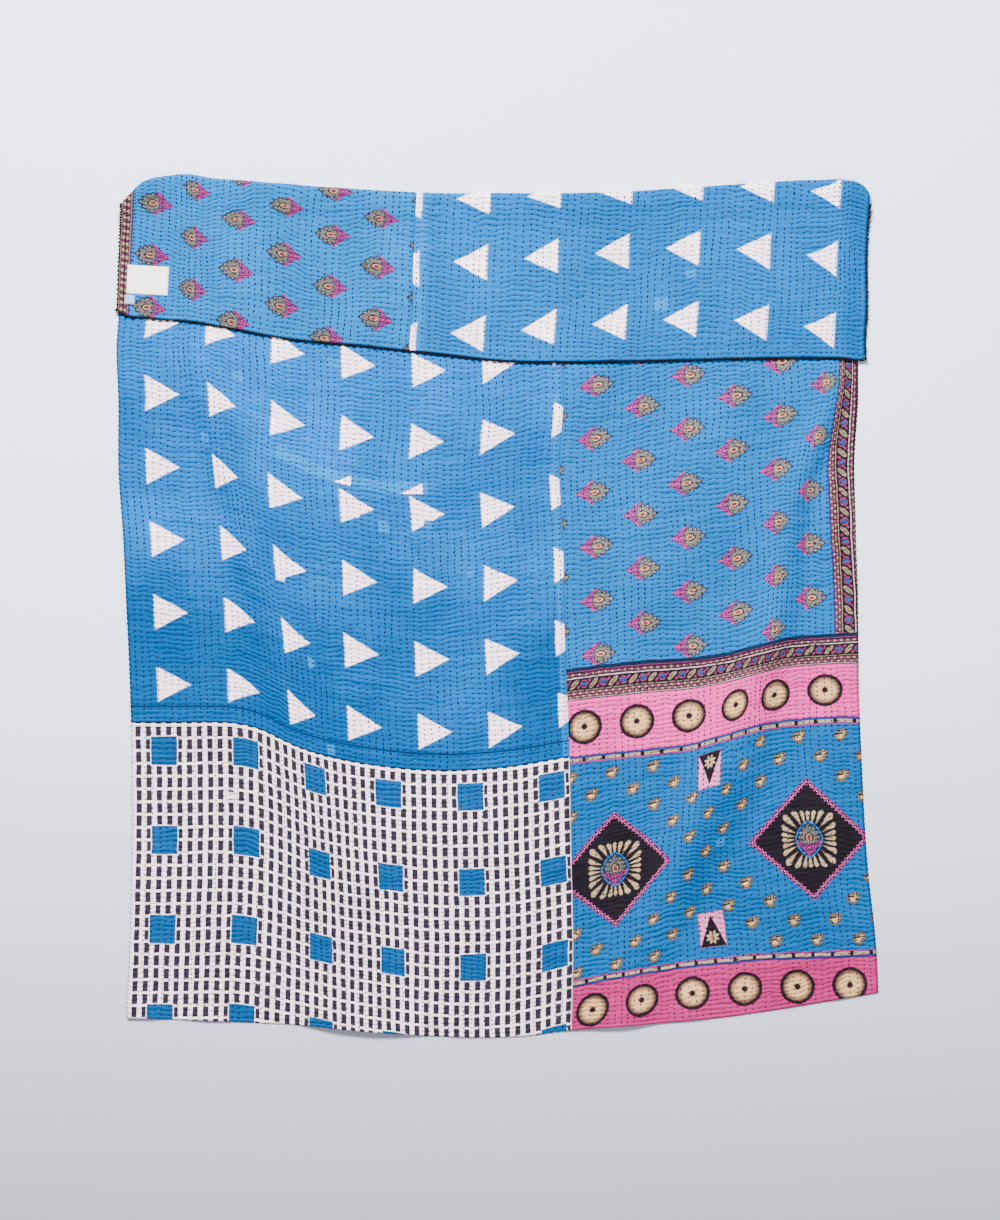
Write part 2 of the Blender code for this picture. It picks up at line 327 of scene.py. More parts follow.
# A closed slab: a fine outer grid, a coarse inner one, and a rim of triangles in which each inner
# edge fans out to the outer points over it.
def slabFaces(shape, *steps):
    fine = np.arange(shape[0] * shape[1]).reshape(shape)
    rows, columns = (np.unique(np.append(np.arange(0, n, step), n - 1)) for n, step in zip(shape, steps))
    coarse = fine.size + np.arange(rows.size * columns.size).reshape(rows.size, columns.size)
    outer, inner = roundBorder(fine), roundBorder(coarse)
    kept = np.flatnonzero(np.isin(outer, fine[np.ix_(rows, columns)]))
    starts = np.searchsorted(kept, np.arange(outer.size), "right") - 1
    fans = np.stack([np.roll(outer, -1), outer, inner[starts]], axis=-1)
    closing = np.stack([outer[np.roll(kept, -1)], inner, np.roll(inner, -1)], axis=-1)
    return gridFaces(fine), gridFaces(coarse)[:, ::-1], np.concatenate([fans, closing]), rows, columns


# ---- Dyes and threads

# Cotton printed by hand with dye pastes: matt, its colours deep and slightly uneven.
dyes = {
    "fieldBlue": "#01467c", "fieldPale": "#015ca2", "budBlue": "#015894", "bandBlue": "#014f86",
    "turnedBlue": "#015b95", "turnedField": "#015490", "brightBlue": "#0060a0", "mendBlue": "#0068a8",
    "checkBlue": "#0a4476", "white": "#f4dfec", "checkWhite": "#f0dbe2", "checkDark": "#2a2530",
    "pink": "#cc3a86", "deepPink": "#9c285e", "tan": "#9a8564", "dimTan": "#4e4136", "brownTan": "#82705a",
    "toothPink": "#a02c70", "cream": "#cb9c6c", "brown": "#40352c", "core": "#99104e", "black": "#1a161b",
    "navy": "#142036", "maroon": "#2a1a24", "beadPink": "#702c50", "blush": "#bc86a2", "plum": "#4c2238",
    "lineBlue": "#16365e", "ringBlue": "#0e4680", "violet": "#2a2262", "pale": "#b0a09e",
    "indigoThread": "#140f38", "violetThread": "#3d2a4a", "greyThread": "#6a5a66",
    "roseThread": "#5a1446", "blackThread": "#0e0c10", "tape": "#f6f0ec", "satin": "#93a4c8",
}
frontBud = {
    "leaf": "#a83270", "leafGround": "#2a2c5e", "outline": "#262230", "fanGround": "#3c4c60",
    "petal": "#766c5e", "petalHeart": "#404e5c", "rim": "#a98a5c", "core": "#8e1246",
}
turnedBud = {
    "leaf": "#8c2660", "leafGround": "#20244e", "outline": "#1f1b28", "fanGround": "#2c3a4a",
    "petal": "#625a50", "petalHeart": "#323e4a", "rim": "#8a7050", "core": "#78103a",
}


# A dye by name, or a colour in sRGB hex, turned to linear light.
def linearColour(colour):
    hexCode = dyes.get(colour, colour)
    channels = np.array([int(hexCode[place : place + 2], 16) for place in (1, 3, 5)]) / 255
    low, high = channels / 12.92, ((channels + 0.055) / 1.055) ** 2.4
    return (*np.where(channels <= 0.04045, low, high).tolist(), 1.0)


# Adds one node. A kind in capitals is an operation of the Math node. Values and links fill the
# sockets in order, or by number from a dictionary.
def addNode(tree, kind, *values, **settings):
    if kind.isupper():
        kind, settings = "Math", {"operation": kind, **settings}
    node = tree.nodes.new("ShaderNode" + kind)
    for name, setting in settings.items():
        setattr(node, name, setting)
    filled = values[0] if values and isinstance(values[0], dict) else dict(enumerate(values))
    for place, value in filled.items():
        value = getattr(value, "socket", value)
        if isinstance(value, bpy.types.NodeSocket):
            tree.links.new(value, node.inputs[place])
        else:
            node.inputs[place].default_value = value
    return node.outputs[0]


# A number worked out at every point of the cloth; sums and products of it add nodes.
class Reading:
    def __init__(self, socket):
        self.socket = socket

    def work(self, operation, *others, **settings):
        return Reading(addNode(self.socket.id_data, operation, self, *others, **settings))

    __add__ = __radd__ = partialmethod(work, "ADD")
    __mul__ = __rmul__ = partialmethod(work, "MULTIPLY")
    __sub__ = partialmethod(work, "SUBTRACT")
    __rsub__ = partialmethod(work, "MULTIPLY_ADD", -1.0)
    __neg__ = partialmethod(work, "MULTIPLY", -1.0)
    __abs__ = partialmethod(work, "ABSOLUTE")


# One inside a shape, nought outside, from the distance to its edge; the dye spreads by bleed.
def inside(distance, bleed=1.0):
    return distance.work("MULTIPLY_ADD", -1 / bleed, 0.5, use_clamp=True)


# Lays one dye over another where the mask is one.
def dyeOver(mask, over, under):
    under, over = (linearColour(c) if isinstance(c, str) else c for c in (under, over))
    mix = addNode(mask.socket.id_data, "Mix", {0: mask, 6: under, 7: over}, data_type="RGBA")
    return mix.node.outputs[2]


# Lays dyes in turn, each inside its shape: a layer is (distance to the edge, dye, bleed).
def printed(under, *layers):
    for distance, dye, *bleed in layers:
        under = dyeOver(inside(distance, *bleed), dye, under)
    return under


# Distance to the edge of any of several shapes, or of what they all share.
def anyOf(*distances):
    return reduce(lambda one, other: one.work("MINIMUM", other), distances)


def allOf(*distances):
    return reduce(lambda one, other: one.work("MAXIMUM", other), distances)


# Place inside one repeat, nought at its middle.
def inRepeat(value, pitch, middle=0.0):
    return (value - middle).work("WRAP", pitch / 2, -pitch / 2)


# How far a place is from nought: the root of two squares.
def howFar(x, y):
    return (x * x + y * y).work("SQRT")


# Distance to the edge of a box, its corners square.
def boxEdge(x, y, halfWidth, halfHeight):
    return allOf(abs(x) - halfWidth, abs(y) - halfHeight)


# Distance to an ellipse's edge, scaled by its shorter half-axis.
def ellipseEdge(x, y, halfWidth, halfHeight):
    shorter = min(halfWidth, halfHeight)
    return howFar(x * (1 / halfWidth), y * (1 / halfHeight)) * shorter - shorter


# Distance to the nearest of several parallel lines.
def fromLines(at, middles):
    return anyOf(*[abs(at - middle) for middle in middles])


# Rows of beads, with smaller ones between them.
def beadEdges(s, fromRow, pitch, bead, between):
    starts = (0.0, bead), (pitch / 2, between)
    return (ellipseEdge(inRepeat(s, pitch, start), fromRow, *size) for start, size in starts)


# White triangles, left undyed by the resist: right of a much bled straight side and between two
# slanted ones. towards is -1 for tips to the left. Beside the seam the print lies a little off.
def trianglePrint(u, v, ground, triangle):
    comparison, level, stepAcross, stepAlong = triangle["besideSeam"]
    beside = u.work(comparison, level)
    x = inRepeat(u - beside * stepAcross, triangle["pitchAcross"], triangle["firstAcross"])
    y = inRepeat(v - beside * stepAlong, triangle["pitchAlong"], triangle["firstAlong"])
    x = x * triangle["towards"]
    slope = math.atan2(triangle["height"] / 2, triangle["width"])
    slanted = abs(y) * math.cos(slope) + (x - triangle["width"] * 2 / 3) * math.sin(slope)
    return dyeOver(inside(-x - triangle["width"] / 3, 4.5) * inside(slanted, 2.2), "white", ground)


# Dark dashes in a close grid on white, with blue squares over them.
def checkPrint(u, v, noise):
    dash, square = (
        boxEdge(inRepeat(u, pitch[0], first[0]), inRepeat(v, pitch[1], first[1]), size[0] / 2, size[1] / 2)
        for size, pitch, first in checkGrid.values()
    )
    colour = printed("checkWhite", (dash, "checkDark"), (square - 1.6, "checkWhite"), (square, "checkBlue"))
    return mendsOver(u, v, colour, mends["check"], "white")


# A bud, its tip to the left: an arrowhead of narrow leaves, nicked across, with a round lobe at each
# end, and a fan of twelve petals round a drop, each an outlined ellipse on its own spoke.
def budMotif(x, y, under, dye):
    side = abs(y)
    sprig = allOf(side * 0.785 - x * 0.62 - 21.1, x - side * 0.30 + 7.0)
    leaf = abs(inRepeat(side - x * 0.34, 4.9, 1.2)) * 0.95 - 1.15
    lobe = ellipseEdge(x + 6.0, side - 19.0, 4.6, 3.6)
    leaf = anyOf(allOf(anyOf(leaf, side - 1.2), sprig), lobe)
    nicks = allOf(abs(inRepeat(x + side * 0.5, 6.2, -30.0)) - 0.5, sprig)
    fanX = x - 4.5
    angle = y.work("ARCTAN2", fanX)
    point = angle.work("COSINE").work("MAXIMUM", 0.0).work("POWER", 14.0)
    radius = howFar(fanX, y).work("DIVIDE", point * 0.26 + 1.0)
    notch = side * 0.25 - x - 9.0
    petal = allOf(ellipseEdge(radius - 14.2, inRepeat(angle, math.pi / 6) * radius, 7.4, 3.9), notch)
    drop = ellipseEdge(x - 3.4, y, 8.2, 5.4)
    layers = (
        (sprig - 0.4, "leafGround", 1.4), (leaf, "leaf"), (nicks, "outline"),
        (allOf(radius - 20.8, notch - 0.8), "fanGround", 1.4),
        (petal - 0.8, "outline"), (petal + 0.8, "petal"), (petal + 2.2, "petalHeart"),
        (drop - 0.9, "outline"), (drop, "rim", 1.2), (drop + 2.4, "outline"), (drop + 3.2, "core", 1.2),
    )
    return printed(under, *[(edge, dye[part], *bleed) for edge, part, *bleed in layers])


# Buds in columns, every second one a step down. lean shifts them sideways with distance up.
def budPrint(u, v, ground, buds, dye):
    seam, step = buds["besideSeam"]
    offset = u - buds["firstAcross"] - v * buds["lean"] - u.work("LESS_THAN", seam) * step
    column = (offset * (1 / buds["pitchAcross"])).work("ROUND")
    odd = abs(column.work("MODULO", 2.0))
    x = (offset - column * buds["pitchAcross"]) * buds["towards"]
    y = inRepeat(v - odd * buds["oddStep"], buds["pitchAlong"], buds["firstAlong"])
    return budMotif(x * 0.95, y * 1.07, ground, dye)


# A border, s along it and d out: a navy line, beads, a dotted line, rings and leaves on black, a tan
# line, two rows of beads and a dotted line.
def borderPrint(s, d, border):
    beadS = s + d.work("GREATER_THAN", border["beadShiftFrom"]) * (border["bead"] / 2)
    fromRow = fromLines(d, border["beadRows"])
    bead, between = beadEdges(beadS, fromRow, border["bead"], (3.2, 2.4), (2.7, 2.1))
    across = d - border["ringRow"]
    black = abs(across) - 10.6
    ringX, leafX = (inRepeat(s, border["ring"], first) for first in (8.0, 8.0 + border["ring"] / 2))
    leafX, leafY = (leafX - across) * 0.7071, (leafX + across) * 0.7071
    leaf = allOf(ellipseEdge(leafX, leafY, 11.8, 4.5), black)
    veins = allOf(abs(inRepeat(leafY, 2.6)) - 0.5, leaf + 1.6)
    drop = howFar(abs(ringX) - 11.2, ringX * 0.52 + across)
    ring = howFar(ringX, across)
    dots = (s * (2 * math.pi / 3.6)).work("SINE") * 0.8
    return printed(
        "maroon",
        (bead, "brownTan"), (between, "beadPink"), (black, "black"),
        (leaf, "brownTan"), (leaf + 1.6, "dimTan"), (veins, "brownTan"), (drop - 3.1, "beadPink"),
        (ring - 8.2, "beadPink"), (ring - 5.6, "maroon"), (ring - 4.4, "ringBlue"),
        (fromLines(d, border["dottedLines"]) - dots * 0.6 - 1.0, "pale"),
        (abs(d - border["tanLine"]) - 0.8, "brownTan"), (abs(d - border["pinkLine"]) - 0.8, "beadPink"),
        (d - border["navyTo"], "navy", 1.6),
    )


# The end-piece: blue with buds, the border along its lower edge and, turned round, up its side.
def endPiecePrint(u, v, noise):
    buds = budPrint(u, v, "budBlue", endPiece["buds"], frontBud)
    lower, outer = endPiece["borderTop"] - v, u - v * endPiece["borderLean"] - endPiece["borderInner"]
    isLower, isOuter = lower.work("GREATER_THAN", 0.0), outer.work("GREATER_THAN", 0.0)
    beyond = endPiece["borderDepth"] - outer
    d, s = isLower * (lower - beyond) + beyond, isLower * (u + v) - v
    colour = dyeOver(allOf(isLower, isOuter), borderPrint(s, d, endBorder), buds)
    return printed(colour, (allOf(abs(outer) - 1.4, lower), "violet"))


# A mango: a round body and a lobe above it to the right, dark strokes towards their rim, a pale
# heart and a dark slit. limit is above nought where nothing is drawn.
def mangoMotif(x, y, under, limit):
    bodyX, bodyY = x + 1.6, y + 1.6
    radius, angle = howFar(bodyX, bodyY), bodyY.work("ARCTAN2", bodyX)
    lobe = howFar(x - 5.6, y - 4.4)
    edge = allOf(anyOf(radius - 11.4, lobe - 7.8), limit)
    strokes = allOf((angle * 15.0).work("COSINE") * -2.4 - 0.5, 5.8 - radius, edge + 0.9)
    slit = allOf(boxEdge(x + 4.0, y - x * 0.12 - 2.6, 7.4, 1.6), edge)
    heart = allOf(ellipseEdge(x + 1.4, y + 2.2, 4.4, 2.8), edge)
    body = (edge - 0.9, "maroon", 1.2), (edge + 0.4, "brownTan"), (strokes, "black")
    return printed(under, *body, (edge + 5.0, "tan", 2.0), (heart, "cream", 1.4), (slit, "black"))


# A diamond's petals: twenty-four drops, points inwards, between an oval and a rounded square,
# closer together at the middles of its sides.
def petalRing(x, y, under):
    square = abs(x * (1 / 54)).work("POWER", 6.0) + abs(y * (1 / 57)).work("POWER", 6.0)
    square = square.work("POWER", 1 / 6) * 56
    angle = y.work("ARCTAN2", x)
    spoke = inRepeat(angle + (angle * 4.0).work("SINE") * 0.055, math.pi / 12)
    sideways = abs(spoke) * howFar(x, y)
    rounded = square + sideways * sideways * 0.16
    taper = sideways - square * 0.21 + 5.2
    petal = allOf(rounded - 56.5, 35.0 - howFar(x * 1.22, y), taper)
    return printed(under, (petal, "dimTan", 1.2), (petal + 1.0, "tan", 1.4))


# A black diamond: pink teeth and pale studs inside its edge, the petals, and a bud in an oval.
def diamondMotif(x, y, under, halfX, halfY):
    edge = (abs(x) * (1 / halfX) + abs(y) * (1 / halfY)) * (halfX * 0.7071) - halfX * 0.7071
    tooth = abs(inRepeat((abs(x) - abs(y)) * 0.7071, 9.4))
    teeth = allOf(tooth * 0.9 - 2.1 - edge * 0.08, -9.6 - edge)
    stud = howFar(4.7 - tooth, edge + 5.4)
    oval = abs(x * (1 / 28.0)).work("POWER", 1.5) + abs(y * (1 / 37.0)).work("POWER", 1.5)
    ovalEdge = oval * 19.0 - 19.0
    scallop = (y.work("ARCTAN2", x) * 22.0).work("COSINE") * 0.8
    colour = petalRing(x, y, printed(under, (edge - 0.6, "violet", 1.2), (edge + 0.8, "black", 1.2)))
    teethAndLine = (allOf(teeth, edge + 0.6), "toothPink"), (allOf(-1.2 - edge, edge + 0.4), "toothPink")
    ovalRim = (ovalEdge, "brightBlue", 1.2), (ovalEdge + 2.4 + scallop, "navy")
    colour = printed(colour, *teethAndLine, (allOf(stud - 0.9, edge), "white"), *ovalRim)
    return dyeOver(inside(ovalEdge + 2.6, 1.2), budMotif(y * 0.95 + 1.0, x * 0.95, colour, turnedBud), colour)


# A keystone: a pale mottled block, a black triangle, and a flower of eight petals.
def keystoneMotif(x, y, under, mottle):
    block = boxEdge(x, y, 26.5, 36.0)
    wedge = abs(x) - y * 0.40 - 12.0
    flowerY = y - 17.0
    radius = howFar(x, flowerY)
    spoke = inRepeat(flowerY.work("ARCTAN2", x), math.pi / 4, math.pi / 8) * radius
    return printed(
        under,
        (block - 0.8, "beadPink", 1.2), (block + 0.6, dyeOver(mottle, "pink", "blush"), 1.2),
        (allOf(wedge, block), "black", 1.2), (ellipseEdge(radius - 8.4, spoke, 5.4, 2.7), "tan", 1.2),
        (radius - 2.8, "core", 1.2),
    )


# A cream disc, darker towards a black rim, with a black dot for its middle.
def discMotif(x, y, under, noise):
    ragged = howFar(x, y) + noise["ragged"]
    shading = ragged.work("MULTIPLY_ADD", 1 / 10.5, -19.5 / 10.5, use_clamp=True).work("POWER", 0.65)
    body = dyeOver(shading, "black", dyeOver(noise["mottle"] * 0.3, "tan", "cream"))
    rim, dot = ((ragged - 35.2, "black", 1.6), (ragged - 30.5, body, 3.0)), (ragged - 5.0, "black", 1.4)
    return printed(under, *rim, (ragged - 6.6, "brown", 2.6), dot)


# A narrow strip: lines, and tan bars parted by black squares.
def stripPrint(u, outwards, strip, under):
    gap = boxEdge(inRepeat(u, strip["bar"], strip["firstBar"]), outwards + 0.6, 3.7, 4.2)
    lines = (-0.0, 8.0, "violet"), (5.2, 0.9, "lineBlue"), (-6.4, 0.9, "deepPink"), (-0.6, 3.1, "tan")
    return printed(under, *[(abs(outwards - at) - half, dye) for at, half, dye in lines], (gap, "black"))


# The banded end: pink bands with discs round a blue field with mangoes in a staggered lattice, two
# diamonds and two keystones. A mango too near a diamond or a keystone is left out.
def bandedPrint(u, v, noise):
    panel = bandedEnd
    pairs = ("middle", "mangoPitch", "firstMango", "climb", "clearOfDiamond", "discLevels")
    centre, pitch, start, (leftClimb, rightClimb), (zoneX, zoneY), (low, high) = (panel[k] for k in pairs)
    (middleU, middleV), (pitchU, pitchV), (firstU, firstV) = centre, pitch, start
    fromCentre = u - middleU
    rise = fromCentre.work("MINIMUM", 0.0) * leftClimb + fromCentre.work("MAXIMUM", 0.0) * rightClimb
    fromMiddle = v - middleV - rise
    keyX = fromCentre + 5.0 + fromMiddle * 0.03
    fromFirst = fromMiddle + (middleV - firstV)
    row = (fromFirst * (-1 / pitchV)).work("ROUND")
    mangoY = fromFirst + row * pitchV
    drifted = u + fromMiddle.work("MINIMUM", 0.0) * panel["drift"]
    mangoX = inRepeat(drifted - abs(row.work("MODULO", 2.0)) * (pitchU / 2), pitchU, firstU)
    diamondX = fromCentre - fromCentre.work("SIGN") * (panel["diamondApart"] / 2)
    keyApart, middleY = panel["keystoneApart"] / 2, fromMiddle - mangoY
    nearDiamond = 1.0 - abs(diamondX - mangoX) * (1 / zoneX) - abs(middleY) * (1 / zoneY)
    nearKey = -boxEdge(keyX - mangoX, abs(middleY - 4.0) - keyApart - 2.0, *panel["clearOfKeystone"])
    crowded = allOf(nearDiamond, nearKey).work("GREATER_THAN", 0.0)
    colour = mangoMotif(mangoX, mangoY, "bandBlue", crowded * 100.0 - 50.0)
    colour = keystoneMotif(keyX, abs(fromMiddle - 4.0) - keyApart, colour, noise["mottle"])
    colour = diamondMotif(diamondX, fromMiddle, colour, *panel["diamondHalf"])
    outwards = abs(v - panel["stripMiddle"]) - panel["stripReach"]
    isLow = v.work("LESS_THAN", middleV)
    discX = inRepeat(u - isLow * panel["lowDiscShift"], panel["discPitch"], panel["firstDisc"])
    colour = printed(colour, (-outwards, dyeOver(isLow, "deepPink", "pink")))
    colour = discMotif(discX, v - high - isLow * (low - high), colour, noise)
    return mendsOver(u, v, stripPrint(u, outwards, panel, colour), mends["bands"], "mendBlue")


# Mends: boxes with rounded corners, each turned a little, edged darker.
def mendsOver(u, v, under, places, dye):
    edges, corner = [], 4.0
    for middleU, middleV, halfWidth, halfHeight, turn in places:
        x, y = u - middleU, v - middleV
        turnedX = x * math.cos(turn) + y * math.sin(turn)
        turnedY = y * math.cos(turn) - x * math.sin(turn)
        beyondX = (abs(turnedX) - (halfWidth - corner)).work("MAXIMUM", 0.0)
        beyondY = (abs(turnedY) - (halfHeight - corner)).work("MAXIMUM", 0.0)
        edges.append(howFar(beyondX, beyondY) - corner)
    edge = anyOf(*edges)
    return printed(dyeOver(inside(edge, 1.6) * 0.5, "fieldBlue", under), (edge + 1.2, dye, 2.0))


# The long mend: a bowed strip with two cut white triangles that narrow to their left tips.
def longMendOver(u, v, under):
    (first, last), (lowestU, lowestV), half = longMend["ends"], longMend["lowest"], longMend["half"]
    fromLowest = u - lowestU
    upStrip = v - lowestV - fromLowest * fromLowest * longMend["bow"]
    halfLength = (last - first) / 2
    strip = boxEdge(u - first - halfLength, upStrip, halfLength, half)
    colour = printed(under, (strip, "mendBlue", 1.6))
    for tip, straight in longMend["cutTriangles"]:
        slope = (2 * half - 3) / (straight - tip)
        white = allOf(upStrip + half - (u - tip) * slope, u - straight, strip + 0.5)
        colour = printed(colour, (white, "white", 1.4))
    return colour


# A new material, and a way to add nodes to it.
def newMaterial(name, roughness, specular):
    material = bpy.data.materials.new(name)
    material.use_nodes = True
    inputs = material.node_tree.nodes["Principled BSDF"].inputs
    inputs["Roughness"].default_value, inputs["Specular IOR Level"].default_value = roughness, specular
    return material, partial(addNode, material.node_tree)


# Links a colour and a bump to a material's shader.
def finish(material, put, colour, strength, height, bumps):
    inputs = material.node_tree.nodes["Principled BSDF"].inputs
    material.node_tree.links.new(colour, inputs["Base Color"])
    bump = put("Bump", {0: strength, 1: height, 3: bumps})
    material.node_tree.links.new(bump.node.outputs[0], inputs["Normal"])
    return material


# Worn, much-washed cotton: matt, paler where it has faded, and slubbed. Shade is painted into the troughs and
# light on the crests. Its threads are drawn coarser than the real 0.4 mm, to show.
weave = {
    "threadSpacing": 1.6,
    "threadHeight": 0.0003,
    "roughness": 0.92,
    "stray": 2.6,  # how far a print's edge strays, in millimetres from side to side
    "fade": 0.20,
    "slub": 0.12,
    # painted shade in the troughs; a third of it paints the crests paler
    "troughShading": 0.52,  # how much darker the troughs are
}


def printedCotton(name, printOn, seed):
    material, put = newMaterial(name, weave["roughness"], 0.0)
    flat = partial(put, "TexNoise", noise_dimensions="2D")
    scaled = partial(put, "VectorMath", operation="SCALE")
    inMillimetres = scaled({0: put("UVMap", uv_map="clothMap"), 3: 1000.0})
    offset = put("VectorMath", {0: inMillimetres, 1: (seed * 370.0, seed * 910.0, 0.0)}, operation="ADD")
    stray = flat({0: offset, 2: 0.03, 3: 1.0}).node.outputs[1]
    stray = put("VectorMath", {0: stray, 1: (0.5, 0.5, 0.5)}, operation="SUBTRACT")
    stray = scaled({0: stray, 3: weave["stray"]})
    axes = put("SeparateXYZ", put("VectorMath", inMillimetres, stray, operation="ADD")).node.outputs
    mottle, fade = Reading(flat({0: offset, 2: 0.25, 3: 2.0})), Reading(flat({0: offset, 2: 0.004, 3: 3.0}))
    blotches = mottle.work("MULTIPLY_ADD", 5.0, -2.2, use_clamp=True)
    noise = {"mottle": blotches, "ragged": mottle * 3.0 - 1.5, "fade": fade}
    colour = printOn(Reading(axes[0]), Reading(axes[1]), noise)
    fine = 1 / weave["threadSpacing"]
    ways = (put("Mapping", {0: offset, 3: way}) for way in ((0.09, fine, 1.0), (fine, 0.09, 1.0)))
    weft, warp = (Reading(flat({0: way, 2: 0.8})) for way in ways)
    threads = weft + warp
    trough = Reading(put("Attribute", attribute_name="paintedShade").node.outputs["Fac"])
    shade = fade * (weave["fade"] * 2) + (1 - weave["fade"])
    grain = threads * weave["slub"] + (1 - weave["slub"])
    # Painted shade and light: darker in the troughs, paler on the crests.
    depth = 1 + weave["troughShading"] * 0.35 - trough * weave["troughShading"]
    colour = scaled({0: colour, 3: shade * grain * depth})
    return finish(material, put, colour, 0.6, weave["threadHeight"], threads)


# Thread or tape in one dye with a slow change of shade.
def dyedThread(name, colour, roughness, change, spacing):
    material, put = newMaterial(name, roughness, 0.1)
    noise = Reading(put("TexNoise", {0: put("TexCoord").node.outputs["Object"], 2: 1 / spacing, 3: 3.0}))
    shade = noise * (2 * change) + (1 - change)
    base = put("VectorMath", {0: linearColour(colour)[:3], 3: shade}, operation="SCALE")
    return finish(material, put, base, 0.4, 0.0002, noise)


# ---- The prints of the panels, with sizes and places in millimetres on the cloth

fieldTriangles = {
    "pitchAcross": 140.8, "pitchAlong": 146.0, "firstAcross": 78.0, "firstAlong": 652.5,
    "width": 66.5, "height": 71.0, "towards": 1.0, "besideSeam": ("GREATER_THAN", 885.0, 0.0, 20.0),
}
turnedTriangles = {
    "pitchAcross": 141.0, "pitchAlong": 142.0, "firstAcross": 735.5, "firstAlong": 76.0,
    "width": 66.5, "height": 71.0, "towards": -1.0, "besideSeam": ("LESS_THAN", 665.0, 5.3, -19.0),
}
checkGrid = {  # size, pitch and first place, each across and along
    "dash": ((11.0, 20.2), (20.4, 25.0), (14.5, 557.5)),
    "square": ((52.0, 56.0), (163.5, 175.0), (65.5, 519.5)),
}
endPiece = {
    "buds": {
        "firstAcross": 985.5, "pitchAcross": 92.4, "firstAlong": 776.0, "pitchAlong": 108.0,
        "oddStep": 53.0, "towards": 1.0, "lean": 0.0, "besideSeam": (930.0, 3.5),
    },
    "borderTop": 754.0, "borderInner": 1512.5, "borderLean": -0.02, "borderDepth": 63.0,
}
endBorder = {
    "beadRows": (15.0, 53.0, 58.8), "bead": 13.13, "beadShiftFrom": 55.9, "ringRow": 34.5, "ring": 39.4,
    "dottedLines": (21.5, 64.2), "tanLine": 47.4, "pinkLine": 8.6, "navyTo": 7.4,
}
turnedBuds = {
    "firstAcross": 65.5, "pitchAcross": 94.4, "firstAlong": 0.0, "pitchAlong": 104.0,
    "oddStep": 51.0, "towards": -1.0, "lean": 0.018, "besideSeam": (0.0, 0.0),
}
bandedEnd = {
    "middle": (1218.5, 335.0),
    "diamondApart": 424.0, "diamondHalf": (122.0, 123.0), "clearOfDiamond": (142.0, 144.0),
    "keystoneApart": 338.0, "clearOfKeystone": (52.0, 44.0),
    "climb": (0.04, -0.012),  # how much the figures climb to the right, left and right of the middle
    "drift": 0.035,  # how much the mangoes lean to the right, down from the middle
    "firstMango": (920.0, 541.0), "mangoPitch": (83.4, 40.7),
    "stripMiddle": 333.5, "stripReach": 232.5, "bar": 39.0, "firstBar": 12.0,
    "firstDisc": 951.0, "discPitch": 105.0, "lowDiscShift": 11.5, "discLevels": (39.0, 632.0),
}
leftBorder = {
    "beadRows": (9.6, 17.2), "pitch": 13.0, "dottedLines": (4.4, 22.4), "violetLine": 25.4, "width": 27.0,
}


# Blue cotton with random fading, painted paler towards the fold as painted light, the upper field lit more
# than the lower; a brighter strip beside the long seam, a line of painted shade at the tuck, and mends.
def fieldPrint(u, v, noise):
    # Random fading plus painted light that grows with distance up the field.
    fadeAndPaintedLight = (noise["fade"] * 1.6 + v * 0.0014).work("ADD", -1.75, use_clamp=True)
    ground = printed(dyeOver(fadeAndPaintedLight, "fieldPale", "fieldBlue"), (906.0 - u, "brightBlue", 3.0))
    colour = trianglePrint(u, v, ground, fieldTriangles)
    # Painted shade: a dark line along the groove at the top of the seam allowance.
    tuckShadeLine = abs(v - tuckLevel / mm) - 1.4
    colour = longMendOver(u, v, dyeOver(inside(tuckShadeLine, 2.0) * 0.8, "navy", colour))
    return mendsOver(u, v, mendsOver(u, v, colour, mends["field"], "mendBlue"), mends["pale"], "white")


# The same blue cotton on the back, brighter in the strip beside its seam.
def turnedFieldPrint(u, v, noise):
    ground = printed("turnedField", (u - 636.0, "brightBlue", 5.0))
    colour = printed(trianglePrint(u, v, ground, turnedTriangles), (1526.0 - u, "turnedField"))
    return mendsOver(u, v, colour, mends["flap"], "mendBlue")


# The bud cotton on the back, with a beaded border round its left edge.
def turnedBudPrint(u, v, noise):
    buds = budPrint(u, v, "turnedBlue", turnedBuds, turnedBud)
    fromRow = fromLines(u, leftBorder["beadRows"])
    bead, between = beadEdges(v, fromRow, leftBorder["pitch"], (3.4, 2.8), (2.8, 2.3))
    dots = (v * (2 * math.pi / 4.4)).work("SINE") * 0.9
    lines = fromLines(u, leftBorder["dottedLines"]) - dots - 0.6
    ground = (u - leftBorder["width"], "maroon"), (abs(u - leftBorder["violetLine"]) - 1.0, "violet")
    beads = (bead, "brownTan", 1.2), (between, "plum")
    return printed(buds, *ground, *beads, (u - 2.6, "black"), (lines, "brownTan"))


cottons = {
    "field": printedCotton("resist-dyed cotton, triangles", fieldPrint, 1),
    "check": printedCotton("block-printed cotton, dashes", checkPrint, 2),
    "buds": printedCotton("screen-printed cotton, buds and border", endPiecePrint, 3),
    "banded": printedCotton("screen-printed cotton, bands and diamonds", bandedPrint, 4),
    "flapField": printedCotton("resist-dyed cotton, triangles on the back", turnedFieldPrint, 5),
    "flapBuds": printedCotton("screen-printed cotton, buds on the back", turnedBudPrint, 6),
}
print("cottons dyed:", len(cottons))

# ---- The panels

# The back's print runs from the free edge, sags between the held corners, and is gathered towards
# the fold. Each sag is listed as (across, sag), in millimetres.
sags = {
    "flapBuds": ((0, 21), (70, 20), (150, 12), (260, 12), (450, 7), (610, 1)),
    "flapField": (
        (610, -36), (732, -29), (873, -9), (1014, 0), (1155, 5), (1296, -3), (1437, -19), (1544, -28),
    ),
}
gather = {"depth": 0.019, "reach": 0.095, "from": 0.08, "to": 0.20}


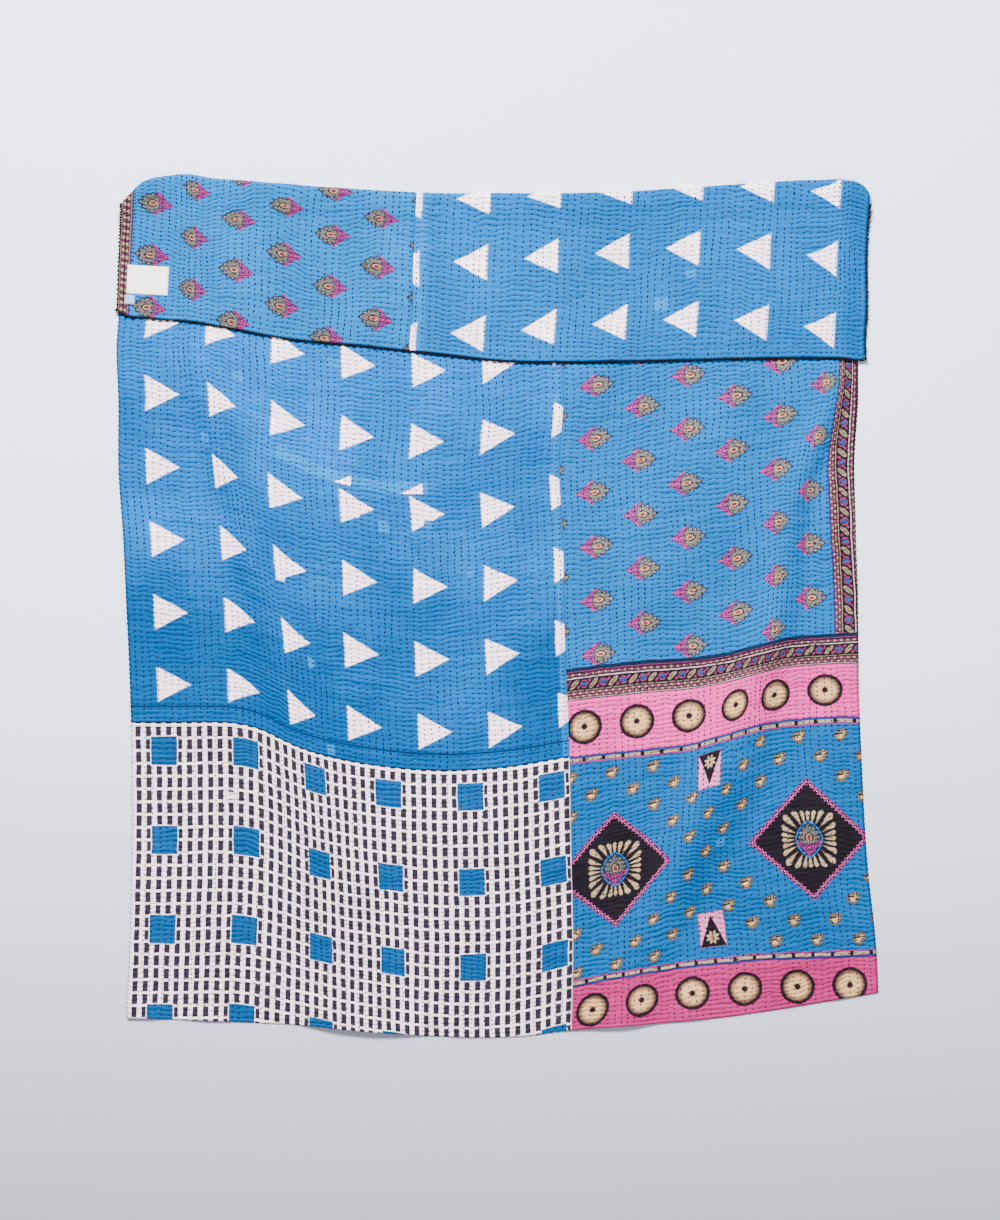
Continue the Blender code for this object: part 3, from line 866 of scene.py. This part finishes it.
# Across, and from the free edge less the sag, more by the gathering, which grows with the 1.5th
# power of nearness to the fold.
def turnedPlaces(sag):
    sagHere = smoothCurve(across, *(np.array(sag) * mm).T)
    near = np.clip(1 - (pastFold - np.pi * cloth["foldRadius"]) / gather["reach"], 0, 1) ** 1.5
    near = near * ease((across - gather["from"]) / (gather["to"] - gather["from"]))
    return np.stack([across, fromFreeEdge - sagHere + near * gather["depth"]], axis=-1)


clothPlaces = np.stack([across, along], axis=-1)
backPlaces = {name: turnedPlaces(sag) for name, sag in sags.items()}
isUnderBuds = np.arange(lastColumn + 1) < flapSeamColumn
beneathPlaces = np.where(isUnderBuds[None, :, None], backPlaces["flapBuds"], backPlaces["flapField"])


# One panel from a block of the lattice, its fine face outwards. The turned end shows its back, its
# columns reversed for that. In the bake map the fine face has most of the square, the rim a strip
# round it, and the plain face the rest.
def quiltPanel(name, rows, columns, cotton):
    blocks, used = (frontFace, back, clothPlaces, beneathPlaces, paintedShade), (cotton, *sags)
    slotBeneath, order = np.where(isUnderBuds, 1, 2), 1
    if cotton in sags:
        blocks, used = (flapFace, front, backPlaces[cotton], clothPlaces, paintedShade), (cotton,)
        slotBeneath, order = np.zeros(lastColumn + 1), -1
    blocks = [block[rows[0] : rows[1] + 1, columns[0] : columns[1] + 1][:, ::order] for block in blocks]
    outer, inner, places, innerPlaces, depth = blocks
    shape = outer.shape[:2]
    fine, coarse, rim, keptRows, keptColumns = slabFaces(shape, 4, 2)
    kept = np.ix_(keptRows, keptColumns)
    points = np.concatenate([outer.reshape(-1, 3), inner[kept].reshape(-1, 3)])
    faces = fine.tolist() + coarse.tolist() + rim.tolist()
    piece = newPiece(name, points, faces, [cottons[one] for one in used])
    slots = np.zeros(len(faces), dtype=np.int32)
    onCoarse = slotBeneath[columns[0] + keptColumns[:-1]]
    slots[len(fine) : len(fine) + len(coarse)] = np.tile(onCoarse, len(keptRows) - 1)
    piece.data.polygons.foreach_set("material_index", slots)
    corners = np.array([corner for face in faces for corner in face])
    inset, rimWidth = 0.012, 0.006
    square = np.stack(np.indices(shape)[::-1], axis=-1) / (shape[1] - 1, shape[0] - 1)
    bake = inset + square * (1 - 2 * inset) * (1, 0.78)
    coarseBake = (inset, 0.82) + square[kept] * (1 - 2 * inset, 0.17)
    rimBake = bake[kept] + np.sign(bake[kept] - bake.mean(axis=(0, 1))) * rimWidth
    maps = ("clothMap", places, innerPlaces[kept], places[kept]), ("OFBake", bake, coarseBake, rimBake)
    for mapName, onFine, *others in maps:
        main, edge = (np.concatenate([onFine.reshape(-1, 2), p.reshape(-1, 2)])[corners] for p in others)
        main[-rim.size :] = edge[-rim.size :]
        piece.data.uv_layers.new(name=mapName).data.foreach_set("uv", main.astype(np.float32).ravel())
    # depth holds the painted shade of the fine face; the coarse inner face gets a middling painted shade.
    paintedShades = np.append(depth.ravel(), np.full(kept[0].size * kept[1].size, 0.5))
    attribute = piece.data.attributes.new("paintedShade", "FLOAT", "POINT")
    attribute.data.foreach_set("value", paintedShades.astype(np.float32))
    piece.data.uv_layers.active = piece.data.uv_layers["clothMap"]
    return piece


# ---- Running stitch

thread = {
    "length": 0.0066, "width": 0.0033, "height": 0.0015, "sink": 0.0004, "skipped": 0.03,
    "lengths": (0.65, 1.3), "widths": (0.75, 1.2),  # shortest and longest, as shares of the usual
    "lean": 0.14, "sideStep": 0.0007,
}
overcast = {"length": 0.0100, "width": 0.0040, "height": 0.0084, "inset": 0.0012}
# A wide black cord along the flap's edges: partly its dark edge thread, mostly a painted shadow under the
# edge.
blackCordAndShadow = {"length": 0.0056, "width": 0.0140, "height": 0.0064, "inset": -0.0008}


# Threads as one mesh: octahedra from their middles and three half-axes, and their materials.
def threadBits(name, middles, ways, materials, numbers):
    points = np.stack([middles + sign * way for way in ways for sign in (-1, 1)], axis=1)
    points[..., 2] = np.maximum(points[..., 2], 0.0003)  # none below the floor
    bit = np.array([(0, 3, 5), (3, 1, 5), (1, 2, 5), (2, 0, 5), (3, 0, 4), (1, 3, 4), (2, 1, 4), (0, 2, 4)])
    faces = (np.arange(len(middles))[:, None, None] * 6 + bit).reshape(-1, 3)
    piece = newPiece(name, points, faces.tolist(), materials)
    piece.data.polygons.foreach_set("material_index", np.repeat(numbers, 8).astype(np.int32))
    return piece


def unitLength(vectors):
    return vectors / np.linalg.norm(vectors, axis=-1, keepdims=True)


# Stitches at every fourth row and second column of the lattice, drawn out along the cloth, each
# with its own length, width, lean and sideways step.
def runningStitches(name, rows, columns, materials, isSecond):
    random = np.random.default_rng(rows[0] * 1000 + columns[0])
    isTurned = rows[0] == hiddenRow
    face, facing = (flapFace, -1) if isTurned else (frontFace, 1)
    allRows = np.arange(max(rows[0] + (-rows[0]) % 4, 4), rows[1] - 1, 4)
    allColumns = np.arange(columns[0] + 1 + (columns[0] + 1) % 2, columns[1], 2)
    row, column = (indices.ravel() for indices in np.meshgrid(allRows, allColumns, indexing="ij"))
    inSight = pastFold[row, column] > 1.5 * cloth["foldRadius"] if isTurned else True
    kept = (random.random(row.size) > thread["skipped"]) & inSight
    row, column = row[kept], column[kept]
    outward = facing * normals[row, column]
    alongWay = unitLength(face[row + 1, column] - face[row - 1, column])
    sideWay = np.cross(alongWay, outward)
    lean = random.normal(0, thread["lean"], (row.size, 1))
    alongWay, sideWay = alongWay + sideWay * lean, sideWay - alongWay * lean
    length = thread["length"] * random.uniform(*thread["lengths"], (row.size, 1)) / 2
    width = thread["width"] * random.uniform(*thread["widths"], (row.size, 1)) / 2
    middle = face[row, column] + sideWay * random.normal(0, thread["sideStep"], (row.size, 1))
    middle = middle + outward * (thread["height"] - thread["sink"]) / 2
    ways = alongWay * length, sideWay * width, outward * (thread["height"] + thread["sink"]) / 2
    numbers = isSecond(across[row, column] / mm, along[row, column] / mm) & (len(materials) > 1)
    return threadBits(name, middle, ways, materials, numbers)


# Overcast stitches, drawn out at right angles to the edge, their middles on it. step leads into
# the cloth.
def overcastEdge(name, row, column, step, bit):
    rim = tuple(np.broadcast_arrays(row, column))
    random = np.random.default_rng(rim[0].size)
    inWay = unitLength(flapFace[rim[0] + step[0], rim[1] + step[1]] - flapFace[rim])
    upWay = unitLength(flapFace[rim] - front[rim])
    size = random.uniform(0.7, 1.25, (3, rim[0].size, 1))
    middle = (flapFace[rim] + front[rim]) / 2 + inWay * bit["inset"]
    ways = (
        inWay * bit["length"] / 2 * size[0],
        np.cross(inWay, upWay) * bit["width"] / 2 * (0.5 + 0.5 * size[1]),
        upWay * bit["height"] / 2 * (0.9 + 0.1 * size[2]),
    )
    return threadBits(name, middle, ways, [blackThread], np.zeros(rim[0].size))


# How far a place is from the nearest repeat of a mark.
def fromNearest(value, pitch, first):
    return value - first - np.rint((value - first) / pitch) * pitch


# One for stitches on the white triangles, where a paler thread is left; on the check's dark marks;
# on the pink bands; and nowhere.
def onTriangles(u, v):
    x, y = (
        fromNearest(value, fieldTriangles["pitch" + way], fieldTriangles["first" + way])
        for value, way in ((u, "Across"), (v, "Along"))
    )
    width = fieldTriangles["width"]
    return (x > -width / 3) & (abs(y) < fieldTriangles["height"] / 2 / width * (width * 2 / 3 - x))


def onMarks(u, v):
    marked = np.zeros(u.shape, dtype=bool)
    for size, pitch, first in checkGrid.values():
        x, y = (abs(fromNearest(*each)) * 2 for each in zip((u, v), pitch, first))
        marked |= (x < size[0]) & (y < size[1])
    return marked


def onPink(u, v):
    return abs(v - bandedEnd["stripMiddle"]) > bandedEnd["stripReach"]


def nowhere(u, v):
    return np.zeros(u.shape, dtype=bool)


# Six-strand cotton, waxed by handling: dark, faintly shiny, and washed paler on pale ground.
indigo, violet, rose, grey, blackThread = (
    dyedThread(name + " cotton thread", dye, 0.8, change, 0.03)
    for name, dye, change in (
        ("indigo", "indigoThread", 0.25), ("faded violet", "violetThread", 0.25),
        ("rose", "roseThread", 0.25), ("grey-violet", "greyThread", 0.3), ("black", "blackThread", 0.2),
    )
)
left, right, turned = (0, seamColumn), (seamColumn, lastColumn), (hiddenRow, freeRow)
turnedLeft, turnedRight = (0, flapSeamColumn), (flapSeamColumn, lastColumn)
patchwork = {  # rows, columns, cotton; stitches, threads, where the second thread is; flat size
    "triangle_panel": (
        (seamRow, hiddenRow), left, "field", "triangles", [indigo, violet], onTriangles, (0.92, 0.886),
    ),
    "check_panel": ((0, seamRow), left, "check", "check", [grey, indigo], onMarks, (0.92, 0.574)),
    "bud_panel": ((borderRow, hiddenRow), right, "buds", "buds", [indigo], nowhere, (0.625, 0.772)),
    "banded_panel": ((0, borderRow), right, "banded", "bands", [indigo, rose], onPink, (0.625, 0.688)),
    "turned_bud_panel": (turned, turnedLeft, "flapBuds", "turned_buds", [indigo], nowhere, (0.611, 0.593)),
    "turned_triangle_panel": (
        turned, turnedRight, "flapField", "turned_triangles", [indigo], nowhere, (0.933, 0.593),
    ),
}
panels = [quiltPanel(name, *made[:3]) for name, made in patchwork.items()]
print("panels made:", sum(len(p.data.polygons) for p in panels), "faces")
stitches = [
    runningStitches("stitches_on_" + where, rows, columns, threads, isSecond)
    for rows, columns, _, where, threads, isSecond, _ in patchwork.values()
]
edgeColumns, shadowCordColumns = np.arange(1, lastColumn, 2), np.arange(lastColumn + 1)
edgeRows, shadowCordRows = (np.arange(hiddenRow + 110, freeRow, step) for step in (4, 3))  # clear of the fold
edgings = [
    overcastEdge("overcast_free_edge", freeRow, edgeColumns, (-3, 0), overcast),
    overcastEdge("overcast_turned_right_edge", edgeRows, lastColumn, (0, -1), overcast),
    overcastEdge("overcast_turned_left_edge", edgeRows, 0, (0, 1), overcast),
    # Black cords that stand partly for the dark edge thread and mostly for painted shadow under the flap's
    # edges.
    overcastEdge("black_cord_and_painted_shadow_free_edge", freeRow, shadowCordColumns, (-3, 0), blackCordAndShadow),
    overcastEdge("black_cord_and_painted_shadow_turned_right_edge", shadowCordRows, lastColumn, (0, -1), blackCordAndShadow),
]
print("stitches sewn:", sum(len(s.data.polygons) for s in stitches) // 8)

# ---- Label and care label: plain woven tape, its text left out

label = {"size": (0.082, 0.057), "centre": (-0.701, 0.651), "turn": -0.055, "thickness": 0.0006}
careLabel = {"size": (0.020, 0.019), "centre": (-0.7370, 0.6125), "turn": -0.10, "thickness": 0.0005}
clearOfFlap, pressedEdge, creased = 0.0016, 0.0005, 0.00015


# A small tape: a closed slab whose height follows the cloth under it, its edges pressed down.
def sewnTape(name, tape, material, rows, columns):
    up, right = np.meshgrid(np.linspace(-0.5, 0.5, rows), np.linspace(-0.5, 0.5, columns), indexing="ij")
    (width, height), (centreX, centreY) = tape["size"], tape["centre"]
    cosine, sine = math.cos(tape["turn"]), math.sin(tape["turn"])
    x = centreX + right * width * cosine - up * height * sine
    y = centreY + right * width * sine + up * height * cosine
    topOfFlap = 2 * cloth["thickness"] + cloth["layerGap"] + clearOfFlap
    pressed = pressedEdge * ease(np.minimum(0.5 - abs(up), 0.5 - abs(right)) / 0.12)
    z = topOfFlap + floorLift(x, y) + pressed + creased * softNoise(x, y, 0.02, 0.012, seed=9)
    lower = np.stack([x, y, z], axis=-1)
    fine, coarse, rim, *_ = slabFaces((rows, columns), 1, 1)
    points = np.concatenate([lower + (0, 0, tape["thickness"]), lower])
    return newPiece(name, points, fine.tolist() + coarse.tolist() + rim.tolist(), [material])


# Plain-woven unbleached cotton, slightly creased, and white polyester satin.
cottonTape = dyedThread("unbleached cotton tape", "tape", 0.8, 0.05, 0.004)
satinTape = dyedThread("white satin tape", "satin", 0.45, 0.04, 0.004)
sewnLabel = sewnTape("sewn_label", label, cottonTape, 24, 34)
sewnCareLabel = sewnTape("sewn_care_label", careLabel, satinTape, 10, 10)
print("labels sewn on")

# ---- What each piece stands for

for panel in panels:
    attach(panel, "root")
    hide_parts("quilt")
for sewn in stitches + edgings:
    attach(sewn, "root")
tapes = (sewnLabel, label, "label_tape", "label"), (sewnCareLabel, careLabel, "satin_tape", "care_label")
for sewn, tape, material, node in tapes:
    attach(sewn, "root")
    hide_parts(node)

# ---- Floor, light and camera

studio = {
    "floor": "#e4e6f8",
    "shadedFloorFoot": "#989aa6",
    "floorSize": 14.0,
    # painted shade on the floor, from here towards the foot of the picture
    "greyFrom": -0.1,  # where the floor starts to get greyer towards the foot of the picture
    "greyOver": 1.3,
    "world": ((0.93, 0.95, 1.0, 1.0), 0.55),  # colour, strength
    "key": ((-0.9, 3.4, 4.2), 1150.0, 1.3),  # place, power, size
    "fill": ((2.2, -2.4, 3.4), 60.0, 3.0),
    "camera": (0.002, -0.007, 5.0),
    "viewTall": 2.44,  # how much of the floor the picture takes in, as the photograph does
}


# A sheet of matt studio paper, with painted shade making it greyer towards the foot of the picture.
def plainFloor():
    half, start, reach = studio["floorSize"] / 2, studio["greyFrom"], studio["greyOver"]
    points = np.array([(x * half, y * half, -0.0005) for x, y in ((-1, -1), (1, -1), (1, 1), (-1, 1))])
    paper = dyedThread("matt studio paper", studio["floor"], 0.9, 0.004, 2.0)
    tree = paper.node_tree
    place = addNode(tree, "SeparateXYZ", addNode(tree, "TexCoord").node.outputs["Object"]).node.outputs[1]
    # Painted shade: the paper darkens towards the foot of the picture.
    foot = Reading(place).work("MULTIPLY_ADD", -1 / reach, start / reach, use_clamp=True)
    foot = foot.work("SMOOTH_MIN", 1.0, 0.2)
    base = tree.nodes["Principled BSDF"].inputs["Base Color"]
    tree.links.new(dyeOver(foot, studio["shadedFloorFoot"], base.links[0].from_socket), base)
    newPiece("studio_floor", points, [(0, 1, 2, 3)], [paper])


# A lamp or camera, put in its place.
def placed(name, data, place):
    thing = bpy.data.objects.new(name, data)
    thing.location = place
    bpy.context.scene.collection.objects.link(thing)
    return thing


# A square soft light that looks at the middle of the floor.
def softLight(name, place, power, size):
    data = bpy.data.lights.new(name, "AREA")
    data.energy, data.size = power, size
    x, y, z = place
    turn = math.atan2(math.hypot(x, y), z), 0.0, math.atan2(-y, -x) - math.pi / 2
    placed(name, data, place).rotation_euler = turn


plainFloor()
softLight("key", *studio["key"])
softLight("fill", *studio["fill"])
world = bpy.data.worlds.new("studio")
world.use_nodes = True
for place, value in enumerate(studio["world"]):
    world.node_tree.nodes["Background"].inputs[place].default_value = value
bpy.context.scene.world = world
lens = bpy.data.cameras.new("camera")
lens.sensor_width, lens.lens = 36.0, 36.0 * studio["camera"][2] / studio["viewTall"]
bpy.context.scene.camera = placed("camera", lens, studio["camera"])

print("scene finished")
